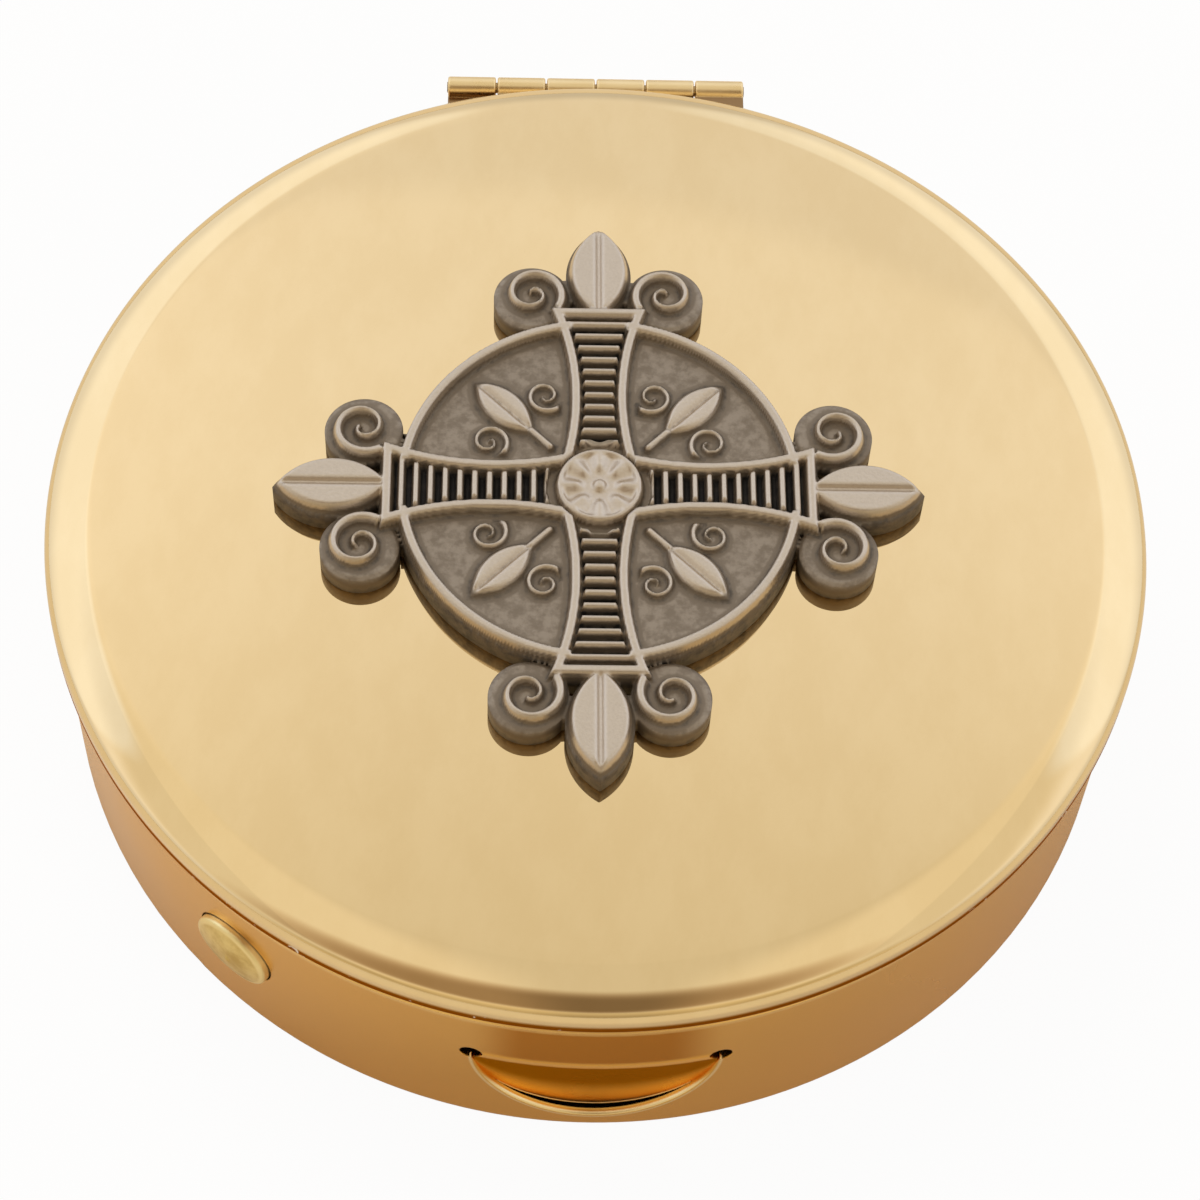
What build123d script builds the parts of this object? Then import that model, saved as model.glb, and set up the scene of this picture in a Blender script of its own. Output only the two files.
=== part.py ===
from build123d import *
import math
import os

# Pyx: a round gilt box with a hinged cap lid, a push-button catch, a thumb
# scoop in the front wall and a cast ornament on the lid.
# Millimetres. +Z is up, -Y is the front, and the hinge is at the back (+Y).
# The origin is the centre of the base, on the surface that the box stands on.

# Driving dimensions of the two shells
lid_diameter = 76.0
closed_height = 20.0
sheet = 0.6
lid_depth = 3.1
lid_shoulder_radius = 5.0
lid_shoulder_angle = 35.0
lid_corner_radius = 1.2
lid_fit_gap = 0.15
rim_overlap = 1.3
neck_step = 0.25
neck_drop = 1.35
base_edge_radius = 1.0

# Hinge at the back
hinge_length = 22.4
knuckle_count = 6
knuckle_diameter = 1.6
knuckle_gap = 0.14
knuckle_rounding = 0.15
pin_diameter = 0.8
pin_clearance = 0.03
hinge_stand_off = 1.25
hinge_rise = 0.05
leaf_thickness = 0.35
web_gap = 0.15
body_leaf_height = 5.0
lid_leaf_height = 1.2
solder_gap = 0.02

# Thumb scoop in the front wall
scoop_width = 16.4
scoop_depth = 8.4
scoop_height = 10.4
scoop_tilt = 5.8
scoop_slit = 0.15
relief_hole_diameter = 1.5

# Push button and the catch behind it
button_azimuth = -39.9
button_height = 9.45
button_diameter = 6.0
button_proud = 0.95
button_edge_proud = 0.45
button_hole_gap = 0.12
button_rim_radius = 0.25
button_stem_diameter = 1.8
button_rivet_diameter = 3.0
button_rivet_thickness = 0.45
catch_clearance = 0.1
spring_thickness = 0.4
spring_height = 5.0
spring_reach_angle = 14.0
spring_span_angle = 40.0
spring_foot_angle = 9.0
spring_ramp_angle = 5.0
keeper_thickness = 0.4
keeper_width = 5.0
keeper_foot = 4.0
keeper_wall_gap = 0.3
keeper_spring_gap = 0.4
keeper_bar = 1.0
keeper_bend_margin = 0.2
nose_azimuth = 11.0
nose_width = 2.0
nose_height = 1.6
nose_tip = 0.4
nose_reach = 0.7
window_gap = 0.3

# Cast ornament on the lid
emblem_ground = 1.7
emblem_relief = 0.9
emblem_border = 1.0
ring_radius = 14.0
arm_root = 3.4
arm_waist = 2.1
arm_end = 3.6
arm_length = 15.0
leaf_tip = 22.3
leaf_half_width = 2.3
curl_radius = 2.7
curl_centre_out = 16.2
curl_centre_side = 4.7
boss_radius = 3.1
sprig_base = 6.2
sprig_tip = 12.4
sprig_half_width = 1.55
sprig_stem_width = 0.85
sprig_relief = 0.65

# Derived sizes
lid_radius = lid_diameter / 2
seam_z = closed_height - lid_depth
rim_radius = lid_radius - sheet - lid_fit_gap
rim_z = seam_z + rim_overlap
body_radius = rim_radius + neck_step
wall_inner = body_radius - sheet
shoulder_z = seam_z - neck_drop
hinge_y = lid_radius + hinge_stand_off
hinge_z = seam_z + hinge_rise
knuckle_radius = knuckle_diameter / 2
knuckle_pitch = hinge_length / knuckle_count
knuckle_length = knuckle_pitch - knuckle_gap
bore_radius = pin_diameter / 2 + pin_clearance
body_web_z = seam_z - web_gap - leaf_thickness
keeper_outer = rim_radius - sheet - keeper_wall_gap
keeper_inner = keeper_outer - keeper_thickness
spring_outer = keeper_inner - keeper_spring_gap
spring_inner = spring_outer - spring_thickness
spring_foot_outer = wall_inner - solder_gap
nose_z = button_height
lid_ceiling_z = closed_height - sheet
bend_mitre = math.tan(math.radians(45) / 2)


def outward(azimuth):
    """Unit vector from the axis outward; azimuth 0 is the front, positive to the right."""
    angle = math.radians(azimuth)
    return Vector(math.sin(angle), -math.cos(angle), 0)


def upright_plane(azimuth, height=0.0):
    """Plane through the axis: local x outward, local y up."""
    radial = outward(azimuth)
    return Plane(origin=(0, 0, height), x_dir=radial, z_dir=radial.cross(Vector(0, 0, 1)))


def level_plane(azimuth, height):
    """Level plane with local x outward at the given azimuth."""
    return Plane(origin=(0, 0, height), x_dir=outward(azimuth), z_dir=(0, 0, 1))


def facing_plane(azimuth, height):
    """Plane square to the outward direction, seen from outside, through the axis."""
    return Plane(origin=(0, 0, height), x_dir=(0, 0, 1), z_dir=outward(azimuth))


def polar(radius, angle):
    return (radius * math.cos(math.radians(angle)), radius * math.sin(math.radians(angle)))


def knuckle_centres(first):
    """Middles of every second knuckle along X, from the given one."""
    return [(i + 0.5) * knuckle_pitch - hinge_length / 2 for i in range(first, knuckle_count, 2)]


def scoop_face(margin):
    """Half-moon of the scoop, drawn on the front wall and shrunk by a margin."""
    half = scoop_width / 2 - margin
    with BuildSketch() as face:
        with BuildLine():
            lowest = (0, scoop_height - scoop_depth + margin)
            ThreePointArc((-half, scoop_height), lowest, (half, scoop_height))
            Line((half, scoop_height), (-half, scoop_height))
        make_face()
    return face.sketch


def front_prism(face):
    """Prism of a face drawn on the front, from the axis out past the wall."""
    with BuildPart() as prism:
        with BuildSketch(Plane.XZ):
            add(face)
        extrude(amount=lid_diameter)
    return prism.part


# Scoop tongue: the half-moon of wall inside the slit, leaning inward from its top edge
lean = math.radians(scoop_tilt)
with BuildPart() as tongue:
    with BuildSketch(Plane.XY.offset(scoop_height)):
        Circle(body_radius)
        Circle(wall_inner, mode=Mode.SUBTRACT)
        with Locations((0, -body_radius)):
            Rectangle(scoop_width - 2 * scoop_slit, body_radius, mode=Mode.INTERSECT)
    extrude(amount=scoop_height, dir=(0, math.sin(lean), -math.cos(lean)))
    add(front_prism(scoop_face(scoop_slit)), mode=Mode.INTERSECT)

# Body cup: drawn base and wall, necked in under the lid, with the scoop slit, its two end holes
# and the button hole
neck_inset = sheet * bend_mitre
neck_base_z = shoulder_z - neck_inset
with BuildPart() as body_cup:
    with BuildSketch():
        Circle(body_radius)
    extrude(amount=neck_base_z)
    fillet(body_cup.edges().group_by(Axis.Z)[0], base_edge_radius)
    offset(amount=-sheet, openings=body_cup.faces().sort_by(Axis.Z)[-1])
    add(front_prism(scoop_face(0)), mode=Mode.SUBTRACT)
    with BuildSketch(Plane.XZ):
        with BuildLine():
            Polyline(
                (body_radius, neck_base_z),
                (body_radius, shoulder_z),
                (rim_radius, shoulder_z + neck_step),
                (rim_radius, rim_z),
                (rim_radius - sheet, rim_z),
                (rim_radius - sheet, neck_base_z + neck_step),
                (wall_inner, neck_base_z),
                close=True,
            )
        make_face()
    revolve(axis=Axis.Z)
    add(tongue.part)
    with BuildSketch(Plane.XZ):
        with Locations((-scoop_width / 2, scoop_height), (scoop_width / 2, scoop_height)):
            Circle(relief_hole_diameter / 2)
    extrude(amount=lid_diameter, mode=Mode.SUBTRACT)
    with BuildSketch(facing_plane(button_azimuth, button_height)):
        Circle(button_diameter / 2 + button_hole_gap)
    extrude(amount=lid_diameter, mode=Mode.SUBTRACT)
body_cup.part.label = "body_cup"

# Lid shell: shallow cap that slips over the body's rim, with a gentle shoulder and a tight corner
shoulder_turn = math.radians(lid_shoulder_angle)
corner_centre = lid_radius - lid_corner_radius
shoulder_centre = corner_centre - (lid_shoulder_radius - lid_corner_radius) * math.sin(shoulder_turn)
shoulder_centre_z = closed_height - lid_shoulder_radius
corner_centre_z = shoulder_centre_z + (lid_shoulder_radius - lid_corner_radius) * math.cos(shoulder_turn)


def lid_edge_point(inset, angle):
    """Point on the lid's edge at an angle from straight up, inset into the sheet."""
    turn = math.radians(angle)
    on_shoulder = angle <= lid_shoulder_angle
    radius = (lid_shoulder_radius if on_shoulder else lid_corner_radius) - inset
    centre = shoulder_centre if on_shoulder else corner_centre
    centre_z = shoulder_centre_z if on_shoulder else corner_centre_z
    return (centre + radius * math.sin(turn), centre_z + radius * math.cos(turn))


def lid_edge(inset):
    """Points of the lid's edge from its flat top to its skirt."""
    angles = (0, lid_shoulder_angle / 2, lid_shoulder_angle, (lid_shoulder_angle + 90) / 2, 90)
    return [lid_edge_point(inset, angle) for angle in angles]


outside = lid_edge(0)
inside = lid_edge(sheet)
with BuildPart() as lid_shell:
    with BuildSketch(Plane.XZ):
        with BuildLine():
            Line((0, closed_height), outside[0])
            ThreePointArc(outside[0], outside[1], outside[2])
            ThreePointArc(outside[2], outside[3], outside[4])
            Line(outside[4], (lid_radius, seam_z))
            Line((lid_radius, seam_z), (lid_radius - sheet, seam_z))
            Line((lid_radius - sheet, seam_z), inside[4])
            ThreePointArc(inside[4], inside[3], inside[2])
            ThreePointArc(inside[2], inside[1], inside[0])
            Line(inside[0], (0, closed_height - sheet))
            Line((0, closed_height - sheet), (0, closed_height))
        make_face()
    revolve(axis=Axis.Z)
lid_shell.part.label = "lid_shell"


def knuckle(x):
    """Barrel of one knuckle with rounded ends, its middle at the given X."""
    with BuildPart() as barrel:
        with BuildSketch(Plane.YZ.offset(x - knuckle_length / 2)):
            with Locations((hinge_y, hinge_z)):
                Circle(knuckle_radius)
        extrude(amount=knuckle_length)
        fillet(barrel.edges().filter_by(GeomType.CIRCLE), knuckle_rounding)
    return barrel.part


def hinge_leaf(shell_radius, flange_z, flange_height, web_z, first):
    """Curved flange soldered to a shell, with webs out to every second knuckle."""
    seat = shell_radius + solder_gap
    centres = knuckle_centres(first)
    with BuildPart() as leaf:
        with BuildSketch(Plane.XY.offset(flange_z)):
            Circle(seat + leaf_thickness)
            Circle(seat, mode=Mode.SUBTRACT)
            with Locations((0, shell_radius)):
                Rectangle(hinge_length, shell_radius, mode=Mode.INTERSECT)
        extrude(amount=flange_height)
        with BuildSketch(Plane.XY.offset(web_z)):
            with Locations(*[(x, hinge_y / 2) for x in centres]):
                Rectangle(knuckle_length, hinge_y)
            Circle(seat, mode=Mode.SUBTRACT)
        extrude(amount=leaf_thickness)
        for x in centres:
            add(knuckle(x))
        with BuildSketch(Plane.YZ.offset(-hinge_length)):
            with Locations((hinge_y, hinge_z)):
                Circle(bore_radius)
        extrude(amount=2 * hinge_length, mode=Mode.SUBTRACT)
    return leaf


# Hinge leaves and the pin through their knuckles
body_leaf_top = body_web_z + leaf_thickness
body_hinge_leaf = hinge_leaf(body_radius, body_leaf_top - body_leaf_height, body_leaf_height, body_web_z, 0)
body_hinge_leaf.part.label = "body_hinge_leaf"

lid_hinge_leaf = hinge_leaf(lid_radius, seam_z, lid_leaf_height, seam_z, 1)
lid_hinge_leaf.part.label = "lid_hinge_leaf"

with BuildPart() as hinge_pin:
    with BuildSketch(Plane.YZ.offset(-hinge_length / 2)):
        with Locations((hinge_y, hinge_z)):
            Circle(pin_diameter / 2)
    extrude(amount=hinge_length)
hinge_pin.part.label = "hinge_pin"

# Push button: slightly domed head in the wall, stem through the spring, rivet head inside
head_start = spring_outer + catch_clearance
rivet_start = spring_inner - catch_clearance
head_edge = body_radius + button_edge_proud
head_top = body_radius + button_proud
dome_rise = button_proud - button_edge_proud
dome_radius = ((button_diameter / 2) ** 2 + dome_rise**2) / (2 * dome_rise)
dome_turn = math.asin(button_diameter / 2 / dome_radius) / 2
dome_centre = head_top - dome_radius
dome_middle = (dome_centre + dome_radius * math.cos(dome_turn), dome_radius * math.sin(dome_turn))
with BuildPart() as push_button:
    with BuildSketch(upright_plane(button_azimuth, button_height)):
        with BuildLine():
            Polyline(
                (rivet_start - button_rivet_thickness, 0),
                (rivet_start - button_rivet_thickness, button_rivet_diameter / 2),
                (rivet_start, button_rivet_diameter / 2),
                (rivet_start, button_stem_diameter / 2),
                (head_start, button_stem_diameter / 2),
                (head_start, button_diameter / 2),
                (head_edge, button_diameter / 2),
            )
            ThreePointArc((head_edge, button_diameter / 2), dome_middle, (head_top, 0))
            Line((head_top, 0), (rivet_start - button_rivet_thickness, 0))
        make_face()
    revolve(axis=Axis((0, 0, button_height), outward(button_azimuth)))
    rings = push_button.edges().filter_by(lambda edge: edge.is_closed)
    fillet(rings.sort_by(Axis((0, 0, 0), outward(button_azimuth)))[-1], button_rim_radius)
push_button.part.label = "push_button"

# Catch spring: strip soldered to the wall at one end, with a nose near its free end
foot_start = spring_reach_angle - spring_span_angle - spring_foot_angle
foot_end = foot_start + spring_foot_angle
blade_start = foot_end + spring_ramp_angle
foot_inner = spring_foot_outer - spring_thickness
with BuildPart() as catch_spring:
    with BuildSketch(level_plane(button_azimuth, button_height - spring_height / 2)):
        with BuildLine():
            ThreePointArc(
                polar(spring_foot_outer, foot_start),
                polar(spring_foot_outer, foot_start + spring_foot_angle / 2),
                polar(spring_foot_outer, foot_end),
            )
            Line(polar(spring_foot_outer, foot_end), polar(spring_outer, blade_start))
            ThreePointArc(
                polar(spring_outer, blade_start),
                polar(spring_outer, (blade_start + spring_reach_angle) / 2),
                polar(spring_outer, spring_reach_angle),
            )
            Line(polar(spring_outer, spring_reach_angle), polar(spring_inner, spring_reach_angle))
            ThreePointArc(
                polar(spring_inner, spring_reach_angle),
                polar(spring_inner, (blade_start + spring_reach_angle) / 2),
                polar(spring_inner, blade_start),
            )
            Line(polar(spring_inner, blade_start), polar(foot_inner, foot_end))
            ThreePointArc(
                polar(foot_inner, foot_end),
                polar(foot_inner, foot_start + spring_foot_angle / 2),
                polar(foot_inner, foot_start),
            )
            Line(polar(foot_inner, foot_start), polar(spring_foot_outer, foot_start))
        make_face()
    extrude(amount=spring_height)
    with BuildSketch(upright_plane(button_azimuth + nose_azimuth, nose_z)):
        with BuildLine():
            Polyline(
                (spring_inner + spring_thickness / 2, -nose_height / 2),
                (spring_outer + nose_reach, -nose_height / 2),
                (spring_outer + nose_reach, -nose_height / 2 + nose_tip),
                (spring_inner + spring_thickness / 2, nose_height / 2),
                close=True,
            )
        make_face()
    extrude(amount=nose_width / 2, both=True)
    with BuildSketch(facing_plane(button_azimuth, button_height)):
        Circle(button_stem_diameter / 2 + catch_clearance)
    extrude(amount=lid_diameter, mode=Mode.SUBTRACT)
catch_spring.part.label = "catch_spring"

# Catch keeper: strip bent down from the lid's flat, whose window takes the spring's nose
keeper_azimuth = button_azimuth + nose_azimuth
window_height = nose_height + 2 * window_gap
keeper_bottom_z = nose_z - window_height / 2 - keeper_bar
bend_start = shoulder_centre - keeper_bend_margin
bend_end_z = lid_ceiling_z - (keeper_outer - bend_start)
bend_inset = keeper_thickness * bend_mitre
with BuildPart() as catch_keeper:
    with BuildSketch(upright_plane(keeper_azimuth)):
        with BuildLine():
            Polyline(
                (bend_start - keeper_foot, lid_ceiling_z),
                (bend_start, lid_ceiling_z),
                (keeper_outer, bend_end_z),
                (keeper_outer, keeper_bottom_z),
                (keeper_inner, keeper_bottom_z),
                (keeper_inner, bend_end_z - bend_inset),
                (bend_start - bend_inset, lid_ceiling_z - keeper_thickness),
                (bend_start - keeper_foot, lid_ceiling_z - keeper_thickness),
                close=True,
            )
        make_face()
    extrude(amount=keeper_width / 2, both=True)
    with BuildSketch(facing_plane(keeper_azimuth, nose_z)):
        Rectangle(window_height, nose_width + 2 * window_gap)
    extrude(amount=lid_diameter, mode=Mode.SUBTRACT)
catch_keeper.part.label = "catch_keeper"


def arm_face(inset):
    """One arm of the cross along +X, with waisted sides, shrunk by an inset."""
    middle = arm_length / 2
    end = arm_length - inset
    with BuildSketch() as face:
        with BuildLine():
            ThreePointArc((0, inset - arm_root), (middle, inset - arm_waist), (end, inset - arm_end))
            Line((end, inset - arm_end), (end, arm_end - inset))
            ThreePointArc((end, arm_end - inset), (middle, arm_waist - inset), (0, arm_root - inset))
            Line((0, arm_root - inset), (0, inset - arm_root))
        make_face()
    return face.sketch


def tip_leaf_face(inset):
    """Pointed leaf beyond the end of an arm, shrunk by an inset."""
    base = arm_length - emblem_border + inset
    tip = leaf_tip - 2 * inset
    middle = (base + tip) / 2
    half = leaf_half_width - inset
    with BuildSketch() as face:
        with BuildLine():
            ThreePointArc((base, 0), (middle, half), (tip, 0))
            ThreePointArc((tip, 0), (middle, -half), (base, 0))
        make_face()
    return face.sketch


def sprig_face():
    """Pointed leaf on a stem along +X, for the ground between two arms."""
    middle = (sprig_base + sprig_tip) / 2
    with BuildSketch() as face:
        with BuildLine():
            ThreePointArc((sprig_base, 0), (middle, sprig_half_width), (sprig_tip, 0))
            ThreePointArc((sprig_tip, 0), (middle, -sprig_half_width), (sprig_base, 0))
        make_face()
        with Locations((middle / 2, 0)):
            Rectangle(middle, sprig_stem_width)
    return face.sketch


def ornament_face(inset):
    """Outline of the whole cross with its leaves and curls, shrunk by an inset."""
    with BuildSketch() as face:
        with PolarLocations(0, 4):
            add(arm_face(inset))
            add(tip_leaf_face(inset))
        with PolarLocations(0, 4):
            with Locations((curl_centre_out, curl_centre_side), (curl_centre_out, -curl_centre_side)):
                Circle(curl_radius - inset)
    return face.sketch


# Cast ornament: ground plate with raised borders, ring and boss, and a lower sprig between the arms
emblem_top_z = closed_height + emblem_ground
with BuildPart() as emblem:
    with BuildSketch(Plane.XY.offset(closed_height)):
        add(ornament_face(0))
        Circle(ring_radius)
    extrude(amount=emblem_ground)
    with BuildSketch(Plane.XY.offset(emblem_top_z)):
        Circle(ring_radius)
        Circle(ring_radius - emblem_border, mode=Mode.SUBTRACT)
        add(ornament_face(0))
        add(ornament_face(emblem_border), mode=Mode.SUBTRACT)
        Circle(boss_radius)
    extrude(amount=emblem_relief)
    with BuildSketch(Plane.XY.offset(emblem_top_z)):
        with PolarLocations(0, 4, start_angle=45):
            add(sprig_face())
    extrude(amount=sprig_relief)
emblem.part.label = "emblem"

os.makedirs("parts", exist_ok=True)
for piece in (
    body_cup,
    lid_shell,
    body_hinge_leaf,
    lid_hinge_leaf,
    hinge_pin,
    push_button,
    catch_spring,
    catch_keeper,
    emblem,
):
    export_step(piece.part, f"parts/{piece.part.label}.step")
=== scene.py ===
import bpy
import math
import numpy as np
from mathutils import Matrix, Vector


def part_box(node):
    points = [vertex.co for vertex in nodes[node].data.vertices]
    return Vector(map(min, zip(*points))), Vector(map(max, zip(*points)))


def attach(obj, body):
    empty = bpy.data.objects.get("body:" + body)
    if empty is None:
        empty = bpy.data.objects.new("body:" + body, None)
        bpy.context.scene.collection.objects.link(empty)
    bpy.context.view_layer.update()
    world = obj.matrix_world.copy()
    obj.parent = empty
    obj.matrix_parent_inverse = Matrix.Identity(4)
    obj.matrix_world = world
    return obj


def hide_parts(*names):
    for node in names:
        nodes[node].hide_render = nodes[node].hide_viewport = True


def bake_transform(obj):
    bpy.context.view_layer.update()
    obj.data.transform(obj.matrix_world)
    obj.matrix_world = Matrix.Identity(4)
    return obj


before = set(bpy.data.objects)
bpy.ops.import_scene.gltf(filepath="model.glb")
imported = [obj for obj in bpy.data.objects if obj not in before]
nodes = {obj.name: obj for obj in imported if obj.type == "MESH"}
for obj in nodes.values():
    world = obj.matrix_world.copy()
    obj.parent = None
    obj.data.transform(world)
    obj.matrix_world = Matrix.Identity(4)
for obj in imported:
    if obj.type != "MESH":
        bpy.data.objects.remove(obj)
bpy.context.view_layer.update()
MM = 0.001

# Sizes read from the frame, in metres
lid_low, lid_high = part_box("lid_shell")
cup_low, cup_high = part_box("body_cup")
hinge_low, hinge_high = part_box("hinge_pin")
button_low, button_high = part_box("push_button")
lid_radius = (lid_high.x - lid_low.x) / 2
lid_top = lid_high.z
seam = lid_low.z

# Camera of the photograph, found by fitting the lid's and the base's outlines
PHOTO_PIXELS = 1200
FOCAL_PIXELS = 3318
SENSOR_MM = 36
VIEW_ELEVATION = math.radians(58.78)
VIEW_AZIMUTH = math.radians(-3.11)
VIEW_ROLL = math.radians(3.39)
VIEW_DISTANCE = 6.0 * lid_radius
LID_CENTRE_RIGHT_PIXELS = -1.45
LID_CENTRE_DOWN_PIXELS = -95.8

# Clearance of the camera's near plane, metres
CAMERA_NEAR = 0.01

# Lid's edge and the rounding that polishing leaves on edges, millimetres
SHOULDER_RADIUS = 5.0
SHOULDER_ANGLE = math.radians(35.0)
CORNER_RADIUS = 1.2
SHEET = 0.6
SKIRT_ROUNDING = 0.14
NECK_DROP = 1.35
WORN_EDGE = 0.14
# width of the painted shade band along the lid's lower edge
SEAM_SHADE_BAND = 0.95
LATHE_STEPS = 288
SHOULDER_STEPS = 24
CORNER_STEPS = 16
SKIRT_STEPS = 7
FLAT_SHARES = (0.002, 0.4, 0.8, 0.97)

# Thumb scoop's half-moon cut, whose lower lip is burnished round, millimetres
SCOOP_WIDTH = 16.4
SCOOP_DEPTH = 8.4
SCOOP_HEIGHT = 10.4
LIP_ROUND = 0.22
# width of the painted highlight along the cut's lip
LIP_SHINE = 0.25
SCOOP_TILT = math.radians(5.8)
TONGUE_INSET = 0.3
TONGUE_SHARE = 0.62
LIP_PROUD = 0.01
TONGUE_PROUD = 0.04
LIP_END_TURN = 0.06
LIP_TAPER_TURN = 0.2
LIP_TAPER_END = 0.25
LIP_STEPS = 72
LIP_SIDES = 20

# Painted shade and highlights round the scoop: from and to, in millimetres or as shares
SCOOP_FRONT = (-0.9, -0.88)
TONGUE_UNDER = (-0.7, -0.35)
TONGUE_WITHIN = (0.05, 0.12)
TONGUE_BRIGHTENING = (0.38, 0.72)
TONGUE_RIM = (0.90, 0.95)
FOLD_DROP = 0.1
FOLD_BAND = (0.3, 0.9)
FOLD_ENDS = (0.0, 0.6)
ABOVE_RISE = (0.1, 0.6)
ABOVE_SPREAD = (0.55, 1.05)
LIP_OUTSIDE = (0.0, 0.05)
LIP_TOP = 1.0
LEAST_CHORD = 0.01

# Painted shade round the neck and in the hinge's groove, a painted highlight on the neck's step, and the
# button's worn and highlighted rim, from and to in millimetres
NECK_FROM = (0.06, 0.16)
NECK_TO = (0.0, 0.2)
STEP_FROM = (-0.5, -0.2)
STEP_SHARE = 0.55
GROOVE_BEHIND = (-0.85, -0.70)
GROOVE_UNDER = (0.40, 0.55)
HINGE_SHARE = (0.8, 0.85)
BUTTON_RIM_SHARE = (0.84, 0.93)

# Colours of metal, wear and pewter grime, painted shade and painted highlights, and tints at grazing angles
WHITE = (1.0, 1.0, 1.0)
LID_DULL = (0.901, 0.681, 0.364)
LID_BRIGHT = (0.929, 0.711, 0.390)
# painted shade along the lid's lower edge, and its grazing tint
SEAM_SHADE = (0.30, 0.12, 0.02)
SEAM_TINT = (0.8, 0.4, 0.12)
WORN_SPECK = (0.90, 0.82, 0.72)
BODY_DULL = (0.76, 0.405, 0.08)
BODY_BRIGHT = (0.83, 0.455, 0.10)
# painted highlight on the neck's step
STEP_HIGHLIGHT = (0.97, 0.68, 0.28)
# painted shade on the neck under the lid's edge, and its grazing tint
NECK_SHADE = (0.22, 0.085, 0.015)
NECK_TINT = (0.75, 0.36, 0.1)
# painted shade and lit band on the tongue, the tongue's edge highlight, and their grazing tint
TONGUE_SHADE = (0.33, 0.12, 0.02)
TONGUE_LIT = (0.90, 0.50, 0.11)
TONGUE_EDGE_HIGHLIGHT = (0.97, 0.76, 0.40)
TONGUE_TINT = (1.0, 0.68, 0.36)
# painted highlight on the fold line
FOLD_HIGHLIGHT = (0.98, 0.52, 0.07)
# painted shade on the wall above the fold, and its grazing tint
ABOVE_FOLD_SHADE = (0.52, 0.215, 0.03)
ABOVE_TINT = (1.0, 0.82, 0.64)
# painted highlight on the cut's lip
LIP_HIGHLIGHT = (0.95, 0.72, 0.36)
BUTTON_DULL = (0.60, 0.41, 0.12)
BUTTON_BRIGHT = (0.87, 0.68, 0.28)
# rim worn bright and given a painted highlight
BUTTON_RIM_WEAR_AND_HIGHLIGHT = (0.94, 0.76, 0.37)
HINGE_DULL = (0.90, 0.66, 0.32)
HINGE_BRIGHT = (0.97, 0.77, 0.44)
# painted shade in the hinge's groove
HINGE_GROOVE_SHADE = (0.33, 0.20, 0.09)
PIN_DULL = (0.40, 0.27, 0.12)
PIN_BRIGHT = (0.55, 0.40, 0.2)
SPRING_DULL = (0.52, 0.32, 0.13)
SPRING_BRIGHT = (0.66, 0.43, 0.2)
PEWTER_SANDY = (0.54, 0.45, 0.345)
PEWTER_BRIGHT = (0.68, 0.575, 0.45)
PEWTER_DULL = (0.27, 0.215, 0.155)
PEWTER_BLACK = (0.022, 0.019, 0.017)

# Grain of the metals: noise scales per metre and the span of noise that shows
LID_HAZE_SCALE = 60.0
LID_SPECK_SCALE = 900.0
LID_SPECKS = (0.66, 0.70)
WIPING_STRETCH = (900.0, 60.0, 300.0)
WIPING_TURN = 0.6
RUBBING_STRETCH = (240.0, 130.0, 100.0)
RUBBING_TURN = -0.8
RUBBING_SPAN = (0.36, 0.66)
LID_POLISH = (0.012, 0.035)
# extra roughness in the painted shade band along the lid's lower edge
SEAM_SHADE_ROUGHNESS = 0.35
BODY_CLOUD_SCALE = 45.0
BODY_POLISH = (0.20, 0.29)
TURNING_ALONG = 3.0
TURNING_ACROSS = 9000.0
SMALL_MOTTLE_SCALE = 350.0
SMALL_GRAIN_SCALE = 4000.0
SMALL_UNEVENNESS = 0.07
BUTTON_MOTTLE_SCALE = 420.0
BUTTON_GRAIN_SCALE = 3000.0
BUTTON_POLISH = (0.44, 0.30)
HINGE_POLISH = (0.26, 0.38)
PEWTER_CLOUD_SCALE = 1500.0
PEWTER_SAND_SCALE = 5200.0
PEWTER_PITS = (-0.06, 0.08)
PEWTER_DULLING = (0.1, 0.5)
PEWTER_BLACKENING = (0.6, 1.0)
PEWTER_METAL = (0.95, 0.35)
PEWTER_POLISH = (0.36, 0.62)
MOTTLE_SPAN = (0.3, 0.7)
CLOUD_SPAN = (0.35, 0.75)

# Floor, lamps and the tent that the metal mirrors, in directions from the object
FLOOR_COLOUR = (0.88, 0.80, 0.66)
FLOOR_HALF = 40.0
FLOOR_DROP = 0.02
# Share of plain white that the camera sees on the floor, over its own shading
FLOOR_WHITENING = 0.95
TOP_LAMP = (-0.2, 0.35, 0.7)
TOP_SIZE = 0.5
TOP_POWER = 2.2
FRONT_LAMP = (0.35, -0.55, 0.45)
FRONT_SIZE = 0.4
FRONT_POWER = 0.8
AMBIENT = 0.55
ARC_BOW = 0.91
ARC_EDGE = (0.345, 0.358)
ARC_TONES = (0.84, 0.91)
FACING_FADE = (0.4, 0.6)
FACING_GAIN = -0.18
MIDLINE = 0.05
MIDLINE_FADE = (0.05, 0.25)
MIDLINE_GAIN = 0.14
SIDE_SLOPE = 0.868
SIDE_EDGE = (1.045, 1.095)
SIDE_GAIN = 0.09
SKYLINE_FADE = (0.1, 0.45)
SKYLINE_GAIN = -0.2
OPENING_ACROSS = (-0.08, 0.7)
OPENING_RISE = (-0.12, 0.36)
OPENING_FADE = (0.1, 1.2)
OPENING_GAIN = -0.5
LOW_FADE = (-0.6, -0.3)
LOW_GAIN = -0.1
CLOTH_FADE = (0.4, 0.58)
CLOTH_BEHIND = (1.0, 1.0, 1.04)
CLOTH_FACING = (1.0, 0.95, 0.85)
CLOTH_SIDE = (1.0, 1.05, 1.18)
CLOTH_LOW = (1.0, 0.84, 0.56)
CLOTH_OPENING = (1.0, 0.72, 0.46)

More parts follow.
